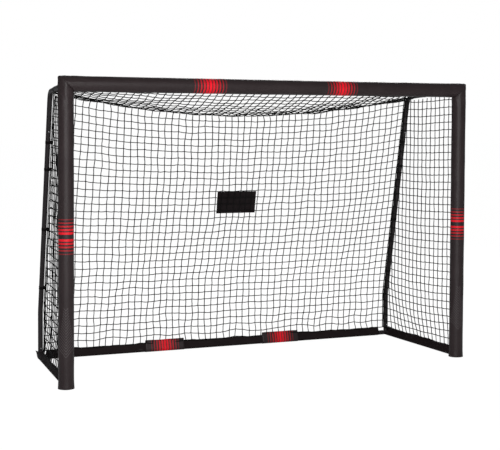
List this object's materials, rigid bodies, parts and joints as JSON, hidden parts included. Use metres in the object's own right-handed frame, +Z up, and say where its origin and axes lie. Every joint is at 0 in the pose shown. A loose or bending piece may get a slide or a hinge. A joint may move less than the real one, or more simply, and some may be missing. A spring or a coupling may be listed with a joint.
{
  "type": "goal net",
  "caption": "Free-standing goal with padded posts and crossbar, a bolt-free steel tube frame, base sleeves and a square-mesh net over its roof, back and sides.",
  "frame": {"origin": "on the floor, at the middle of the footprint", "axes": "+X along the crossbar, +Y into the goal from its mouth, +Z up"},
  "size_m": [2.4, 0.85, 1.6],
  "materials": {
    "powder_coated_steel": "satin black powder coat",
    "padded_cover": "coated woven polyester, soft sheen",
    "foam": "closed-cell polyethylene foam",
    "base_sleeve": "woven polyester",
    "striped_wrap": "woven polyester with red stripes",
    "net_cord": "braided polyethylene cord, 45 mm square mesh",
    "patch": "woven polyester",
    "strap": "woven tape",
    "foot_plastic": "moulded",
    "zinc_button": "zinc plated",
    "spring_steel": "plain"
  },
  "bodies": {
    "frame": {"crossbar_tube_left": "powder_coated_steel", "crossbar_tube_right": "powder_coated_steel", "rear_base_tube_left": "powder_coated_steel", "rear_base_tube_right": "powder_coated_steel", "crossbar_cover": "padded_cover", "rear_base_sleeve": "base_sleeve", "net_back": "net_cord", "net_roof": "net_cord", "net_patch": "patch", "net_straps": "strap", "snap_clips": "spring_steel", "corner_fitting_right": "powder_coated_steel", "corner_fitting_left": "powder_coated_steel", "post_tube_upper_right": "powder_coated_steel", "post_tube_upper_left": "powder_coated_steel", "post_tube_lower_right": "powder_coated_steel", "post_tube_lower_left": "powder_coated_steel", "post_foot_cap_right": "foot_plastic", "post_foot_cap_left": "foot_plastic", "roof_arm_right": "powder_coated_steel", "roof_arm_left": "powder_coated_steel", "rear_upright_right": "powder_coated_steel", "rear_upright_left": "powder_coated_steel", "rear_corner_right": "powder_coated_steel", "rear_corner_left": "powder_coated_steel", "side_base_tube_right": "powder_coated_steel", "side_base_tube_left": "powder_coated_steel", "post_foam_right": "foam", "post_foam_left": "foam", "crossbar_foam_right": "foam", "crossbar_foam_left": "foam", "post_cover_right": "padded_cover", "post_cover_left": "padded_cover", "side_base_sleeve_right": "base_sleeve", "side_base_sleeve_left": "base_sleeve", "base_wrap_right": "striped_wrap", "base_wrap_left": "striped_wrap", "net_side_right": "net_cord", "net_side_left": "net_cord"},
    "button_crossbar_right": {"snap_button_crossbar_right": "zinc_button"},
    "button_crossbar_left": {"snap_button_crossbar_left": "zinc_button"},
    "button_post_top_right": {"snap_button_post_top_right": "zinc_button"},
    "button_post_top_left": {"snap_button_post_top_left": "zinc_button"},
    "button_post_middle_right": {"snap_button_post_middle_right": "zinc_button"},
    "button_post_middle_left": {"snap_button_post_middle_left": "zinc_button"},
    "button_arm_front_right": {"snap_button_arm_front_right": "zinc_button"},
    "button_arm_front_left": {"snap_button_arm_front_left": "zinc_button"},
    "button_arm_rear_right": {"snap_button_arm_rear_right": "zinc_button"},
    "button_arm_rear_left": {"snap_button_arm_rear_left": "zinc_button"},
    "button_upright_foot_right": {"snap_button_upright_foot_right": "zinc_button"},
    "button_upright_foot_left": {"snap_button_upright_foot_left": "zinc_button"},
    "button_side_front_right": {"snap_button_side_front_right": "zinc_button"},
    "button_side_front_left": {"snap_button_side_front_left": "zinc_button"},
    "button_side_rear_right": {"snap_button_side_rear_right": "zinc_button"},
    "button_side_rear_left": {"snap_button_side_rear_left": "zinc_button"},
    "button_rear_right": {"snap_button_rear_right": "zinc_button"},
    "button_rear_left": {"snap_button_rear_left": "zinc_button"},
    "button_crossbar_middle": {"snap_button_crossbar_middle": "zinc_button"},
    "button_rear_middle": {"snap_button_rear_middle": "zinc_button"}
  },
  "joints": [
    {"name": "press_crossbar_right", "type": "slide", "parent": "frame", "child": "button_crossbar_right", "axis": [0, -1, 0], "range_m": [0, 0.005], "stiffness_N_per_m": 3000, "springref_m": -0.002, "deforming": ["snap_clips"]},
    {"name": "press_crossbar_left", "type": "slide", "parent": "frame", "child": "button_crossbar_left", "axis": [0, -1, 0], "range_m": [0, 0.005], "stiffness_N_per_m": 3000, "springref_m": -0.002, "deforming": ["snap_clips"]},
    {"name": "press_post_top_right", "type": "slide", "parent": "frame", "child": "button_post_top_right", "axis": [0, -1, 0], "range_m": [0, 0.005], "stiffness_N_per_m": 3000, "springref_m": -0.002, "deforming": ["snap_clips"]},
    {"name": "press_post_top_left", "type": "slide", "parent": "frame", "child": "button_post_top_left", "axis": [0, -1, 0], "range_m": [0, 0.005], "stiffness_N_per_m": 3000, "springref_m": -0.002, "deforming": ["snap_clips"]},
    {"name": "press_post_middle_right", "type": "slide", "parent": "frame", "child": "button_post_middle_right", "axis": [0, -1, 0], "range_m": [0, 0.005], "stiffness_N_per_m": 3000, "springref_m": -0.002, "deforming": ["snap_clips"]},
    {"name": "press_post_middle_left", "type": "slide", "parent": "frame", "child": "button_post_middle_left", "axis": [0, -1, 0], "range_m": [0, 0.005], "stiffness_N_per_m": 3000, "springref_m": -0.002, "deforming": ["snap_clips"]},
    {"name": "press_arm_front_right", "type": "slide", "parent": "frame", "child": "button_arm_front_right", "axis": [0.0042, -0.0561, -0.9984], "range_m": [0, 0.005], "stiffness_N_per_m": 3000, "springref_m": -0.002, "deforming": ["snap_clips"]},
    {"name": "press_arm_front_left", "type": "slide", "parent": "frame", "child": "button_arm_front_left", "axis": [-0.0042, -0.0561, -0.9984], "range_m": [0, 0.005], "stiffness_N_per_m": 3000, "springref_m": -0.002, "deforming": ["snap_clips"]},
    {"name": "press_arm_rear_right", "type": "slide", "parent": "frame", "child": "button_arm_rear_right", "axis": [0, 0.9788, 0.2047], "range_m": [0, 0.005], "stiffness_N_per_m": 3000, "springref_m": -0.002, "deforming": ["snap_clips"]},
    {"name": "press_arm_rear_left", "type": "slide", "parent": "frame", "child": "button_arm_rear_left", "axis": [0, 0.9788, 0.2047], "range_m": [0, 0.005], "stiffness_N_per_m": 3000, "springref_m": -0.002, "deforming": ["snap_clips"]},
    {"name": "press_upright_foot_right", "type": "slide", "parent": "frame", "child": "button_upright_foot_right", "axis": [0, 1, 0], "range_m": [0, 0.005], "stiffness_N_per_m": 3000, "springref_m": -0.002, "deforming": ["snap_clips"]},
    {"name": "press_upright_foot_left", "type": "slide", "parent": "frame", "child": "button_upright_foot_left", "axis": [0, 1, 0], "range_m": [0, 0.005], "stiffness_N_per_m": 3000, "springref_m": -0.002, "deforming": ["snap_clips"]},
    {"name": "press_side_front_right", "type": "slide", "parent": "frame", "child": "button_side_front_right", "axis": [0, 0, -1], "range_m": [0, 0.005], "stiffness_N_per_m": 3000, "springref_m": -0.002, "deforming": ["snap_clips"]},
    {"name": "press_side_front_left", "type": "slide", "parent": "frame", "child": "button_side_front_left", "axis": [0, 0, -1], "range_m": [0, 0.005], "stiffness_N_per_m": 3000, "springref_m": -0.002, "deforming": ["snap_clips"]},
    {"name": "press_side_rear_right", "type": "slide", "parent": "frame", "child": "button_side_rear_right", "axis": [0, 0, -1], "range_m": [0, 0.005], "stiffness_N_per_m": 3000, "springref_m": -0.002, "deforming": ["snap_clips"]},
    {"name": "press_side_rear_left", "type": "slide", "parent": "frame", "child": "button_side_rear_left", "axis": [0, 0, -1], "range_m": [0, 0.005], "stiffness_N_per_m": 3000, "springref_m": -0.002, "deforming": ["snap_clips"]},
    {"name": "press_rear_right", "type": "slide", "parent": "frame", "child": "button_rear_right", "axis": [0, 0, -1], "range_m": [0, 0.005], "stiffness_N_per_m": 3000, "springref_m": -0.002, "deforming": ["snap_clips"]},
    {"name": "press_rear_left", "type": "slide", "parent": "frame", "child": "button_rear_left", "axis": [0, 0, -1], "range_m": [0, 0.005], "stiffness_N_per_m": 3000, "springref_m": -0.002, "deforming": ["snap_clips"]},
    {"name": "press_crossbar_middle", "type": "slide", "parent": "frame", "child": "button_crossbar_middle", "axis": [0, -1, 0], "range_m": [0, 0.005], "stiffness_N_per_m": 3000, "springref_m": -0.002, "deforming": ["snap_clips"]},
    {"name": "press_rear_middle", "type": "slide", "parent": "frame", "child": "button_rear_middle", "axis": [0, 0, -1], "range_m": [0, 0.005], "stiffness_N_per_m": 3000, "springref_m": -0.002, "deforming": ["snap_clips"]}
  ]
}
